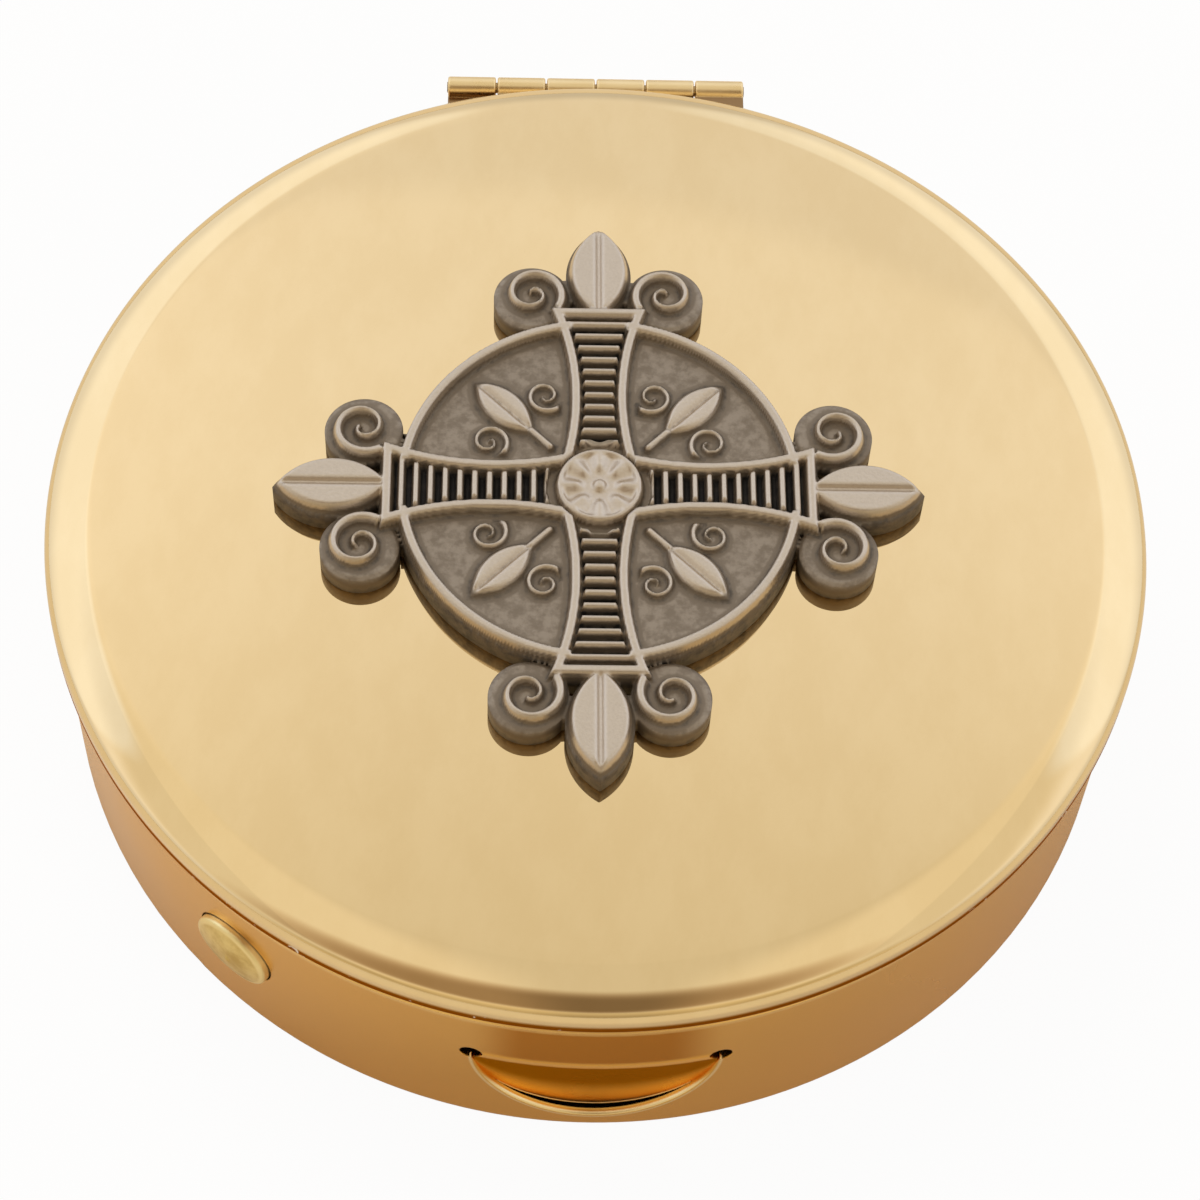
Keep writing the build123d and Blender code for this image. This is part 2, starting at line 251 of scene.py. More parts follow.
# Ornament on the lid, millimetres, the same forms as the solid
GRID_STEP = 0.11
GROUND = 1.7
RELIEF = 0.9
BORDER = 1.0
RING_RADIUS = 14.0
ARM_ROOT = 3.4
ARM_WAIST = 2.1
ARM_END = 3.6
ARM_LENGTH = 15.0
LEAF_TIP = 22.3
LEAF_HALF = 2.3
CURL_RADIUS = 2.7
CURL_OUT = 16.2
CURL_SIDE = 4.7
BOSS_RADIUS = 3.1
SHOULDER = 0.28
HATCH_PITCH = 1.0
HATCH_GROOVE = 0.52
HATCH_EDGE = 0.1
HATCH_DEPTH = 0.35
HATCH_HEIGHT = 0.9 * RELIEF
HATCH_FADE = (-0.02, 0.12)
BOSS_MARGIN = 0.5
BOSS_OVERLAP = 0.4

# Curls, tendrils, sprigs and petals of the relief, in millimetres, turns in radians
SCROLL_SWEEP = 3.3 * math.pi
SCROLL_END = 0.12
SCROLL_NARROW = 0.45
FAR = 9.0
SCROLL_INSET = 0.5
SCROLL_TURN = -2.2
SCROLL_HALF = 0.55
SCROLL_HEIGHT = 0.92 * RELIEF
SCROLL_SHOULDER = 0.4
SPRIG_BASE = 6.2
SPRIG_TIP = 12.4
SPRIG_HALF = 1.55
SPRIG_HEIGHT = 0.72 * RELIEF
STEM_HALF = 0.42
STEM_FROM = 3.0
STEM_TO = 7.0
STEM_HEIGHT = 0.6 * RELIEF
STEM_SHOULDER = 0.35
TENDRIL_CENTRE = (8.0, 2.75)
TENDRIL_RADIUS = 1.45
TENDRIL_TURN = 2.6
TENDRIL_HALF = 0.36
TENDRIL_HEIGHT = 0.62 * RELIEF
TENDRIL_SHOULDER = 0.3
LEAF_HEIGHT = 0.95 * RELIEF
BLADE_SHOULDER = 0.55
VEIN_DEPTH = 0.3
VEIN_HALF = 0.2
VEIN_FADE = (0.15, 0.5)
PETAL_COUNT = 8
PETAL_DEPTH = 0.34
PETAL_RIM = (0.45, 0.7)
PETAL_FADE = (0.9, 1.6)
BOSS_SHOULDER = 0.3
BUD_RADIUS = 1.0
BUD_SHOULDER = 0.8
CLEAR_OF_ARM = 0.5

# Grime in the relief: heights and reach in millimetres, amounts as shares
GRIME_RISE = (0.05, 0.55)
GRIME_REACH = 0.45
GRIME_GROUND = 0.42
GRIME_NEAR = 0.34
GRIME_HATCH = 0.75
GRIME_SIDES = 0.8

# Softened outer edge and the fit of the grid to the outline
EDGE_FADE = 0.3
EDGE_DROP = 0.14
FIT_ROUNDS = 3
LEAST_SLOPE = 0.05


# Material helpers

def new_material(name):
    material = bpy.data.materials.new(name)
    material.use_nodes = True
    tree = material.node_tree
    return material, tree, tree.nodes["Principled BSDF"]


def add_node(tree, kind, **inputs):
    """New node with the given input sockets set, by socket name with _ for spaces."""
    node = tree.nodes.new(kind)
    for name, value in inputs.items():
        node.inputs[name.replace("_", " ")].default_value = value
    return node


def math_node(tree, operation, first, second=None):
    node = tree.nodes.new("ShaderNodeMath")
    node.operation = operation
    for slot, value in enumerate((first, second)):
        if value is None:
            continue
        if isinstance(value, (int, float)):
            node.inputs[slot].default_value = value
        else:
            tree.links.new(value, node.inputs[slot])
    return node.outputs[0]


def ramp(tree, factor, low, high, start, end):
    """Smooth map of a factor from low..high to start..end."""
    node = tree.nodes.new("ShaderNodeMapRange")
    node.interpolation_type = "SMOOTHSTEP"
    node.inputs["From Min"].default_value = low
    node.inputs["From Max"].default_value = high
    node.inputs["To Min"].default_value = start
    node.inputs["To Max"].default_value = end
    tree.links.new(factor, node.inputs["Value"])
    return node.outputs["Result"]


def mix_colour(tree, factor, first, second):
    node = tree.nodes.new("ShaderNodeMix")
    node.data_type = "RGBA"
    tree.links.new(factor, node.inputs["Factor"])
    for socket, value in ((node.inputs[6], first), (node.inputs[7], second)):
        if isinstance(value, tuple):
            socket.default_value = (*value, 1)
        else:
            tree.links.new(value, socket)
    return node.outputs[2]


def times(tree, first, *others):
    """Product of several factors."""
    product = first
    for factor in others:
        product = math_node(tree, "MULTIPLY", product, factor)
    return product


def object_point(tree):
    return tree.nodes.new("ShaderNodeTexCoord").outputs["Object"]


def split(tree, point):
    node = tree.nodes.new("ShaderNodeSeparateXYZ")
    tree.links.new(point, node.inputs[0])
    return node.outputs


def stretched(tree, point, scale, turn):
    """Point scaled per axis and turned about Z, for streaks."""
    node = tree.nodes.new("ShaderNodeMapping")
    node.inputs["Scale"].default_value = scale
    node.inputs["Rotation"].default_value = (0, 0, turn)
    tree.links.new(point, node.inputs["Vector"])
    return node.outputs[0]


def band(centre, span):
    """From and to of a band about a place in metres, for a span in millimetres."""
    return centre + span[0] * MM, centre + span[1] * MM


def noise(tree, point, scale, detail=4.0, rough=0.55):
    node = add_node(tree, "ShaderNodeTexNoise", Scale=scale, Detail=detail, Roughness=rough)
    tree.links.new(point, node.inputs["Vector"])
    return node.outputs["Fac"]


def round_point(tree, point, along, across):
    """Point on the turned surface, as turns along and height across, for lathe-like marks."""
    parts = split(tree, point)
    angle = math_node(tree, "ARCTAN2", parts["Y"], parts["X"])
    joined = tree.nodes.new("ShaderNodeCombineXYZ")
    tree.links.new(times(tree, angle, along), joined.inputs["X"])
    tree.links.new(times(tree, parts["Z"], across), joined.inputs["Y"])
    return joined.outputs[0]


def bump(tree, shader, height, strength, distance):
    """Fine surface marks on top of worn, slightly rounded edges."""
    node = add_node(tree, "ShaderNodeBump", Strength=strength, Distance=distance)
    edges = add_node(tree, "ShaderNodeBevel", Radius=WORN_EDGE * MM)
    tree.links.new(edges.outputs["Normal"], node.inputs["Normal"])
    tree.links.new(height, node.inputs["Height"])
    tree.links.new(node.outputs["Normal"], shader.inputs["Normal"])


def circle_through(p, q, r):
    """Centre and radius of the circle through three points."""
    ax, ay = p
    bx, by = q
    cx, cy = r
    d = 2 * (ax * (by - cy) + bx * (cy - ay) + cx * (ay - by))
    pp, qq, rr = ax * ax + ay * ay, bx * bx + by * by, cx * cx + cy * cy
    x = (pp * (by - cy) + qq * (cy - ay) + rr * (ay - by)) / d
    y = (pp * (cx - bx) + qq * (ax - cx) + rr * (bx - ax)) / d
    return x, y, math.hypot(ax - x, ay - y)


def scoop_circle():
    """Centre and radius of the half-moon cut, in millimetres on the front wall."""
    half = SCOOP_WIDTH / 2
    return circle_through((-half, SCOOP_HEIGHT), (0, SCOOP_HEIGHT - SCOOP_DEPTH), (half, SCOOP_HEIGHT))


# Materials

def polished_gilt():
    """Lid: near-mirror gilt, faintly smudged and wiped, with painted shade and worn specks along its lower
    edge.
    """
    material, tree, shader = new_material("gilt_lid")
    point = object_point(tree)
    haze = noise(tree, point, LID_HAZE_SCALE, 5.0)
    hairline = noise(tree, stretched(tree, point, WIPING_STRETCH, WIPING_TURN), 1.0, 2.0)
    rubbing = noise(tree, stretched(tree, point, RUBBING_STRETCH, RUBBING_TURN), 1.0, 6.0, 0.62)
    # painted shade: a dark band along the lid's lower edge in place of the shadow under it, with worn specks
    # inside the band
    line = SEAM_SHADE_BAND * MM
    darkening = ramp(tree, split(tree, point)["Z"], seam + line / 2, seam + line, 1.0, 0.0)
    speck = ramp(tree, noise(tree, point, LID_SPECK_SCALE, 3.0), *LID_SPECKS, 0.0, 1.0)
    worn = times(tree, darkening, speck)
    gold = mix_colour(tree, ramp(tree, rubbing, *RUBBING_SPAN, 0.0, 1.0), LID_DULL, LID_BRIGHT)
    edged = mix_colour(tree, darkening, gold, SEAM_SHADE)
    tree.links.new(mix_colour(tree, worn, edged, WORN_SPECK), shader.inputs["Base Color"])
    tint = mix_colour(tree, darkening, WHITE, SEAM_TINT)
    tree.links.new(mix_colour(tree, worn, tint, WHITE), shader.inputs["Specular Tint"])
    shader.inputs["Metallic"].default_value = 1.0
    polish = ramp(tree, haze, *CLOUD_SPAN, *LID_POLISH)
    rough = math_node(tree, "ADD", polish, times(tree, darkening, SEAM_SHADE_ROUGHNESS))
    tree.links.new(rough, shader.inputs["Roughness"])
    bump(tree, shader, hairline, 0.02, 0.00002)
    return material


def scoop_tones(tree, parts, gold):
    """Painted shade and highlights round the scoop, with their grazing tint: painted shade on the tongue and
    above the fold, painted highlights on the fold line, the tongue's edge and the cut's edges.
    """
    x, z, radius = scoop_circle()
    side = times(tree, parts["X"], 1 / MM)
    height = times(tree, parts["Z"], 1 / MM)
    drop = math_node(tree, "SUBTRACT", SCOOP_HEIGHT, height)
    rise = math_node(tree, "SUBTRACT", height, SCOOP_HEIGHT)
    front = ramp(tree, parts["Y"], *(share * lid_radius for share in SCOOP_FRONT), 1.0, 0.0)

    off_axis = math_node(tree, "SUBTRACT", side, x)
    off_level = math_node(tree, "SUBTRACT", height, z)
    run = times(tree, off_axis, off_axis)
    reach = math_node(tree, "SQRT", math_node(tree, "ADD", run, times(tree, off_level, off_level)))
    depth = math_node(tree, "SUBTRACT", radius, reach)
    room = math_node(tree, "MAXIMUM", math_node(tree, "SUBTRACT", radius**2, run), LEAST_CHORD)
    chord = math_node(tree, "ADD", math_node(tree, "SQRT", room), SCOOP_HEIGHT - z)
    descent = math_node(tree, "DIVIDE", drop, chord)

    # painted shade on the tongue, lighter lower down, with a painted highlight at its edge
    under = ramp(tree, rise, *TONGUE_UNDER, 1.0, 0.0)
    tongue = times(tree, front, under, ramp(tree, depth, *TONGUE_WITHIN, 0.0, 1.0))
    lit = ramp(tree, descent, *TONGUE_BRIGHTENING, 0.0, 1.0)
    shade = mix_colour(tree, lit, TONGUE_SHADE, TONGUE_LIT)
    shade = mix_colour(tree, ramp(tree, descent, *TONGUE_RIM, 0.0, 1.0), shade, TONGUE_EDGE_HIGHLIGHT)

    # painted highlight along the fold line
    off_fold = math_node(tree, "ABSOLUTE", math_node(tree, "SUBTRACT", drop, FOLD_DROP))
    fold = ramp(tree, off_fold, *FOLD_BAND, 1.0, 0.0)
    fold = times(tree, fold, front, ramp(tree, depth, *FOLD_ENDS, 0.0, 1.0))
    colour = mix_colour(tree, fold, gold, FOLD_HIGHLIGHT)
    colour = mix_colour(tree, tongue, colour, shade)

    # painted shade on the wall above the fold
    over = ramp(tree, rise, *ABOVE_RISE, 0.0, 1.0)
    spread = (share * radius for share in ABOVE_SPREAD)
    middle = ramp(tree, math_node(tree, "ABSOLUTE", side), *spread, 1.0, 0.0)
    above = times(tree, over, middle, front)
    colour = mix_colour(tree, above, colour, ABOVE_FOLD_SHADE)

    # painted highlight along the cut's lip
    near = ramp(tree, math_node(tree, "ABSOLUTE", depth), LIP_SHINE / 2, LIP_SHINE, 1.0, 0.0)
    outside = ramp(tree, depth, *LIP_OUTSIDE, 1.0, 0.0)
    below = ramp(tree, rise, -LIP_TOP, 0.0, 1.0, 0.0)
    lip_highlight = times(tree, near, outside, front, below)
    # grazing tints of the painted shade above the fold and on the tongue
    tint = mix_colour(tree, above, WHITE, ABOVE_TINT)
    tint = mix_colour(tree, tongue, tint, TONGUE_TINT)
    return mix_colour(tree, lip_highlight, colour, LIP_HIGHLIGHT), tint


def satin_gilt():
    """Body: satin gilt with fine turning marks, painted shade under the lid, a painted highlight on the step
    below, and painted shade and highlights round the scoop.
    """
    material, tree, shader = new_material("gilt_body")
    point = object_point(tree)
    parts = split(tree, point)
    cloud = noise(tree, point, BODY_CLOUD_SCALE, 4.0)
    lathe = noise(tree, round_point(tree, point, TURNING_ALONG, TURNING_ACROSS), 1.0, 2.0)
    neck = seam - NECK_DROP * MM
    # painted shade in a band on the neck, in place of the shadow under the lid's overhang
    below = ramp(tree, parts["Z"], *band(neck, NECK_FROM), 0.0, 1.0)
    above = ramp(tree, parts["Z"], *band(seam, NECK_TO), 1.0, 0.0)
    neck_shade = times(tree, below, above)
    # painted highlight on the neck's step below the lid
    step = ramp(tree, parts["Z"], *band(neck, STEP_FROM), 0.0, STEP_SHARE)
    gold = mix_colour(tree, cloud, BODY_DULL, BODY_BRIGHT)
    # painted shade and highlights round the scoop, with their grazing tint
    gold, tint = scoop_tones(tree, parts, gold)
    gold = mix_colour(tree, step, gold, STEP_HIGHLIGHT)
    tree.links.new(mix_colour(tree, neck_shade, gold, NECK_SHADE), shader.inputs["Base Color"])
    tree.links.new(mix_colour(tree, neck_shade, tint, NECK_TINT), shader.inputs["Specular Tint"])
    shader.inputs["Metallic"].default_value = 1.0
    tree.links.new(ramp(tree, cloud, *MOTTLE_SPAN, *BODY_POLISH), shader.inputs["Roughness"])
    bump(tree, shader, lathe, 0.06, 0.00003)
    return material


def plain_metal(name, dark, light, rough, grain):
    """Small brass or bronze pieces: mottled colour, uneven gloss and a fine grain."""
    material, tree, shader = new_material(name)
    point = object_point(tree)
    mottle = noise(tree, point, SMALL_MOTTLE_SCALE, 5.0)
    fine = noise(tree, point, SMALL_GRAIN_SCALE, 3.0)
    tree.links.new(mix_colour(tree, mottle, dark, light), shader.inputs["Base Color"])
    shader.inputs["Metallic"].default_value = 1.0
    gloss = ramp(tree, mottle, *MOTTLE_SPAN, rough - SMALL_UNEVENNESS, rough + SMALL_UNEVENNESS)
    tree.links.new(gloss, shader.inputs["Roughness"])
    bump(tree, shader, fine, grain, 0.00004)
    return material


def button_metal():
    """Push button: mottled brass, dull on the face, its rim worn bright and given a painted highlight."""
    material, tree, shader = new_material("button_brass")
    point = object_point(tree)
    mottle = noise(tree, point, BUTTON_MOTTLE_SCALE, 5.0, 0.65)
    fine = noise(tree, point, BUTTON_GRAIN_SCALE, 3.0)
    offset = tree.nodes.new("ShaderNodeVectorMath")
    offset.operation = "SUBTRACT"
    offset.inputs[1].default_value = (button_low + button_high) / 2
    tree.links.new(point, offset.inputs[0])
    aside = tree.nodes.new("ShaderNodeVectorMath")
    aside.operation = "CROSS_PRODUCT"
    aside.inputs[1].default_value = (button_low + button_high).to_2d().to_3d().normalized()
    tree.links.new(offset.outputs[0], aside.inputs[0])
    reach = tree.nodes.new("ShaderNodeVectorMath")
    reach.operation = "LENGTH"
    tree.links.new(aside.outputs[0], reach.inputs[0])
    radius = (button_high.z - button_low.z) / 2
    # rim worn bright, also a painted highlight of its rounded edge
    rim = ramp(tree, reach.outputs["Value"], *(share * radius for share in BUTTON_RIM_SHARE), 0.0, 1.0)
    face = mix_colour(tree, ramp(tree, mottle, *MOTTLE_SPAN, 0.0, 1.0), BUTTON_DULL, BUTTON_BRIGHT)
    tree.links.new(mix_colour(tree, rim, face, BUTTON_RIM_WEAR_AND_HIGHLIGHT), shader.inputs["Base Color"])
    shader.inputs["Metallic"].default_value = 1.0
    tree.links.new(ramp(tree, mottle, *MOTTLE_SPAN, *BUTTON_POLISH), shader.inputs["Roughness"])
    bump(tree, shader, fine, 0.15, 0.00005)
    return material


def hinge_metal():
    """Hinge leaves: gilt on the barrel, with painted shade in the groove between the barrel and the shells.
    """
    material, tree, shader = new_material("gilt_hinge")
    point = object_point(tree)
    parts = split(tree, point)
    mottle = noise(tree, point, SMALL_MOTTLE_SCALE, 5.0)
    fine = noise(tree, point, SMALL_GRAIN_SCALE, 3.0)
    axis = (hinge_low + hinge_high) / 2
    # painted shade in the groove under and behind the barrel
    inward = ramp(tree, parts["Y"], *band(axis.y, GROOVE_BEHIND), 1.0, 0.0)
    low = ramp(tree, parts["Z"], *band(axis.z, GROOVE_UNDER), 1.0, 0.0)
    outside = ramp(tree, parts["Y"], *(share * lid_radius for share in HINGE_SHARE), 0.0, 1.0)
    groove = times(tree, inward, low, outside)
    gold = mix_colour(tree, mottle, HINGE_DULL, HINGE_BRIGHT)
    tree.links.new(mix_colour(tree, groove, gold, HINGE_GROOVE_SHADE), shader.inputs["Base Color"])
    shader.inputs["Metallic"].default_value = 1.0
    tree.links.new(ramp(tree, mottle, *MOTTLE_SPAN, *HINGE_POLISH), shader.inputs["Roughness"])
    bump(tree, shader, fine, 0.05, 0.00004)
    return material


def antique_pewter():
    """Casting: worn bright on the high parts, dark in the recesses, with a sandy ground."""
    material, tree, shader = new_material("pewter")
    point = object_point(tree)
    darkening = tree.nodes.new("ShaderNodeAttribute")
    darkening.attribute_name = "darkening"
    cloud = noise(tree, point, PEWTER_CLOUD_SCALE, 5.0)
    sand = noise(tree, point, PEWTER_SAND_SCALE, 4.0)
    pits = ramp(tree, cloud, *CLOUD_SPAN, *PEWTER_PITS)
    pitted = math_node(tree, "ADD", darkening.outputs["Fac"], pits)
    bright = mix_colour(tree, sand, PEWTER_SANDY, PEWTER_BRIGHT)
    dull = mix_colour(tree, ramp(tree, pitted, *PEWTER_DULLING, 0.0, 1.0), bright, PEWTER_DULL)
    colour = mix_colour(tree, ramp(tree, pitted, *PEWTER_BLACKENING, 0.0, 1.0), dull, PEWTER_BLACK)
    tree.links.new(colour, shader.inputs["Base Color"])
    tree.links.new(ramp(tree, pitted, *PEWTER_BLACKENING, *PEWTER_METAL), shader.inputs["Metallic"])
    tree.links.new(ramp(tree, pitted, 0.0, PEWTER_BLACKENING[0], *PEWTER_POLISH), shader.inputs["Roughness"])
    bump(tree, shader, sand, 0.35, 0.00006)
    return material


# Ornament relief: distances to the forms in a corner of the pattern, in millimetres

def smooth(value, low, high):
    t = np.clip((value - low) / (high - low), 0, 1)
    return t * t * (3 - 2 * t)


def arm_distance(along, side):
    x, y, radius = circle_through((0, ARM_ROOT), (ARM_LENGTH / 2, ARM_WAIST), (ARM_LENGTH, ARM_END))
    flank = radius - np.hypot(along - x, side - y)
    return np.maximum(flank, along - ARM_LENGTH)


def lens_distance(along, side, start, tip, half):
    x, y, radius = circle_through((start, 0), ((start + tip) / 2, half), (tip, 0))
    return np.hypot(along - x, np.abs(side) - y) - radius


def scroll_distance(along, side, centre, start, turn, width):
    """Distance to a band that spirals in from a start radius, narrowing as it goes."""
    dx, dy = along - centre[0], side - centre[1]
    reach = np.hypot(dx, dy)
    angle = np.mod(np.arctan2(dy, dx) - turn, 2 * math.pi)
    best = np.full(along.shape, FAR)
    for lap in (0, 1):
        wound = angle + 2 * math.pi * lap
        share = np.clip(1 - wound / SCROLL_SWEEP, 0, 1)
        half = width * (SCROLL_NARROW + (1 - SCROLL_NARROW) * share)
        gap = np.abs(reach - start * share) - half
        best = np.minimum(best, np.where(share > SCROLL_END, gap, FAR))
    return best


def ornament(x, y):
    """Outline distance, height above the lid and grime of the relief."""
    along = np.maximum(np.abs(x), np.abs(y))
    side = np.minimum(np.abs(x), np.abs(y))
    reach = np.hypot(x, y)
    arm = arm_distance(along, side)
    leaf = lens_distance(along, side, ARM_LENGTH - BORDER, LEAF_TIP, LEAF_HALF)
    curl = np.hypot(along - CURL_OUT, side - CURL_SIDE) - CURL_RADIUS
    disc = reach - RING_RADIUS
    outline = np.minimum(np.minimum(arm, leaf), np.minimum(curl, disc))

    def raised(distance, height, shoulder=SHOULDER):
        return height * smooth(-distance, 0, shoulder)

    diagonal = (along + side) / math.sqrt(2)
    lateral = (along - side) / math.sqrt(2)
    ring = np.abs(disc + BORDER / 2) - BORDER / 2
    arm_band = np.maximum(np.abs(arm + BORDER / 2) - BORDER / 2, BOSS_RADIUS - BOSS_OVERLAP - reach)
    curl_centre = (CURL_OUT, CURL_SIDE)
    scroll = scroll_distance(along, side, curl_centre, CURL_RADIUS - SCROLL_INSET, SCROLL_TURN, SCROLL_HALF)
    sprig = lens_distance(diagonal, lateral, SPRIG_BASE, SPRIG_TIP, SPRIG_HALF)
    stem = np.maximum(np.abs(lateral) - STEM_HALF, np.maximum(STEM_FROM - diagonal, diagonal - STEM_TO))
    tendril = scroll_distance(diagonal, lateral, TENDRIL_CENTRE, TENDRIL_RADIUS, TENDRIL_TURN, TENDRIL_HALF)
    boss = reach - BOSS_RADIUS
    covered = np.minimum(arm, boss)
    sprig, stem, tendril = (np.maximum(d, CLEAR_OF_ARM - covered) for d in (sprig, stem, tendril))

    height = np.zeros_like(x)
    for distance in (ring, arm_band):
        height = np.maximum(height, raised(distance, RELIEF))
    height = np.maximum(height, raised(scroll, SCROLL_HEIGHT, SCROLL_SHOULDER))
    within_ring = np.maximum(tendril, disc + BORDER)
    height = np.maximum(height, raised(within_ring, TENDRIL_HEIGHT, TENDRIL_SHOULDER))
    height = np.maximum(height, raised(stem, STEM_HEIGHT, STEM_SHOULDER))
    for distance, across, top in ((leaf, side, LEAF_HEIGHT), (sprig, lateral, SPRIG_HEIGHT)):
        blade = raised(distance, top, BLADE_SHOULDER)
        vein = VEIN_DEPTH * np.exp(-((np.abs(across) / VEIN_HALF) ** 2)) * smooth(-distance, *VEIN_FADE)
        height = np.maximum(height, blade - vein)
    petals = 0.5 + 0.5 * np.cos(PETAL_COUNT * np.arctan2(y, x))
    hollow = PETAL_DEPTH * smooth(-boss, *PETAL_RIM) * (1 - petals * smooth(reach, *PETAL_FADE))
    rosette = raised(boss, RELIEF, BOSS_SHOULDER) - hollow
    bud = raised(reach - BUD_RADIUS, RELIEF, BUD_SHOULDER)
    height = np.where(boss < 0, np.maximum(rosette, bud), height)

    field = np.maximum(arm + BORDER, BOSS_RADIUS + BOSS_MARGIN - reach)
    step = np.abs(np.mod(along - ARM_LENGTH, HATCH_PITCH) - HATCH_PITCH / 2)
    groove_edge = HATCH_PITCH / 2 - HATCH_GROOVE / 2
    groove = smooth(step, groove_edge - HATCH_EDGE, groove_edge + HATCH_EDGE)
    inside = smooth(-field, *HATCH_FADE)
    bars = inside * (HATCH_HEIGHT - height) * (1 - groove)
    height = height + bars + inside * groove * (-HATCH_DEPTH - height)

    low = 1 - smooth(height, *GRIME_RISE)
    raised_forms = (ring, arm_band, scroll, leaf, sprig, stem, tendril, boss)
    near = 1 - smooth(np.minimum.reduce(raised_forms), 0.0, GRIME_REACH)
    darkening = (GRIME_GROUND + GRIME_NEAR * near) * low + GRIME_HATCH * inside * groove
    edge = smooth(-outline, 0, EDGE_FADE)
    height = GROUND + height - EDGE_DROP * (1 - edge)
    return outline, height, np.clip(darkening, 0, 1)


def smooth_shaded(mesh):
    for polygon in mesh.polygons:
        polygon.use_smooth = True
    mesh.update()
    return mesh


def place_piece(name, mesh, material):
    piece = bpy.data.objects.new(name, mesh)
    bpy.context.scene.collection.objects.link(piece)
    piece.data.materials.clear()
    piece.data.materials.append(material)
    return piece


def relief_mesh(name):
    """Closed casting: relief on top, upright sides on the outline, flat back on the lid."""
    span = np.arange(-LEAF_TIP - 2 * GRID_STEP, LEAF_TIP + 2.5 * GRID_STEP, GRID_STEP)
    x, y = np.meshgrid(span, span, indexing="ij")
    outline = ornament(x, y)[0]
    inside = outline < 0
    cell = inside[:-1, :-1] | inside[1:, :-1] | inside[:-1, 1:] | inside[1:, 1:]
    for _ in range(FIT_ROUNDS):
        nudge = GRID_STEP / 4
        outline = ornament(x, y)[0]
        slope_x = (ornament(x + nudge, y)[0] - ornament(x - nudge, y)[0]) / (2 * nudge)
        slope_y = (ornament(x, y + nudge)[0] - ornament(x, y - nudge)[0]) / (2 * nudge)
        steep = np.maximum(slope_x**2 + slope_y**2, LEAST_SLOPE)
        pull = np.clip(np.where(inside, 0, outline / steep), -GRID_STEP, GRID_STEP)
        x = x - pull * slope_x
        y = y - pull * slope_y
    _, z, darkening = ornament(x, y)
    used = np.zeros(x.shape, bool)
    for di in (0, 1):
        for dj in (0, 1):
            used[di:used.shape[0] - 1 + di, dj:used.shape[1] - 1 + dj] |= cell
    index = np.full(x.shape, -1)
    index[used] = np.arange(used.sum())
    i, j = np.nonzero(cell)
    top = np.stack([index[i, j], index[i + 1, j], index[i + 1, j + 1], index[i, j + 1]], 1)
    count = int(used.sum())
    edges = {}
    for quad in top.tolist():
        for a, b in zip(quad, quad[1:] + quad[:1]):
            if (b, a) in edges:
                del edges[(b, a)]
            else:
                edges[(a, b)] = True
    sides = [(b, a, a + count, b + count) for a, b in edges]
    back = (top[:, ::-1] + count).tolist()
    points = np.stack([x[used], y[used], z[used]], 1)
    floor = points.copy()
    floor[:, 2] = 0
    coords = np.concatenate([points, floor]) * MM + np.array([0, 0, lid_top])
    mesh = bpy.data.meshes.new(name)
    mesh.from_pydata(coords.tolist(), [], top.tolist() + sides + back)
    layer = mesh.attributes.new("darkening", "FLOAT", "POINT")
    shades = np.concatenate([darkening[used], np.full(count, GRIME_SIDES)])
    layer.data.foreach_set("value", shades.astype(np.float32))
    return smooth_shaded(mesh)


def lid_profile():
    """Radius and height round the sheet of the lid: top, shoulder, corner, skirt and back inside."""
    corner_centre = lid_radius / MM - CORNER_RADIUS
    spread = SHOULDER_RADIUS - CORNER_RADIUS
    shoulder_centre = corner_centre - spread * math.sin(SHOULDER_ANGLE)
    shoulder_height = lid_top / MM - SHOULDER_RADIUS
    corner_height = shoulder_height + spread * math.cos(SHOULDER_ANGLE)

    def arc(x, z, radius, start, end, count):
        turns = np.linspace(start, end, count)
        return [(x + radius * math.sin(t), z + radius * math.cos(t)) for t in turns]

    def side(inset):
        shoulder_turns = (0, SHOULDER_ANGLE, SHOULDER_STEPS)
        shoulder = arc(shoulder_centre, shoulder_height, SHOULDER_RADIUS - inset, *shoulder_turns)
        corner_turns = (SHOULDER_ANGLE, math.pi / 2, CORNER_STEPS)
        corner = arc(corner_centre, corner_height, CORNER_RADIUS - inset, *corner_turns)
        return shoulder + corner[1:]

    outer, inner = side(0), side(SHEET)
    low = seam / MM + SKIRT_ROUNDING
    lip_out = lid_radius / MM - SKIRT_ROUNDING
    lip_in = lid_radius / MM - SHEET + SKIRT_ROUNDING
    lip = arc(lip_out, low, SKIRT_ROUNDING, math.pi / 2, math.pi, SKIRT_STEPS)
    lip += arc(lip_in, low, SKIRT_ROUNDING, math.pi, 1.5 * math.pi, SKIRT_STEPS)
    flat = [(share * outer[0][0], outer[0][1]) for share in FLAT_SHARES]
    under = [(r, z - SHEET) for r, z in reversed(flat)]
    return flat + outer + lip + inner[::-1] + under


def lathe_mesh(name, profile):
    """Closed surface turned from a profile of radii and heights in millimetres."""
    turns = np.arange(LATHE_STEPS) * 2 * math.pi / LATHE_STEPS
    radius, height = np.array(profile).T * MM
    x = np.outer(radius, np.cos(turns))
    y = np.outer(radius, np.sin(turns))
    z = np.repeat(height[:, None], LATHE_STEPS, 1)
    index = np.arange(x.size).reshape(x.shape)
    after = np.roll(index, -1, 1)
    quads = np.stack([index[:-1], index[1:], after[1:], after[:-1]], -1).reshape(-1, 4).tolist()
    caps = [index[0].tolist(), index[-1][::-1].tolist()]
    mesh = bpy.data.meshes.new(name)
    mesh.from_pydata(np.stack([x, y, z], -1).reshape(-1, 3).tolist(), [], quads + caps)
    return smooth_shaded(mesh)


def make_lid(material):
    """Lid shell with a finer surface than the solid's facets, so that it mirrors cleanly."""
    piece = place_piece("lid_pressing", lathe_mesh("lid_pressing", lid_profile()), material)
    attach(piece, "lid")
    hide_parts("lid_shell")


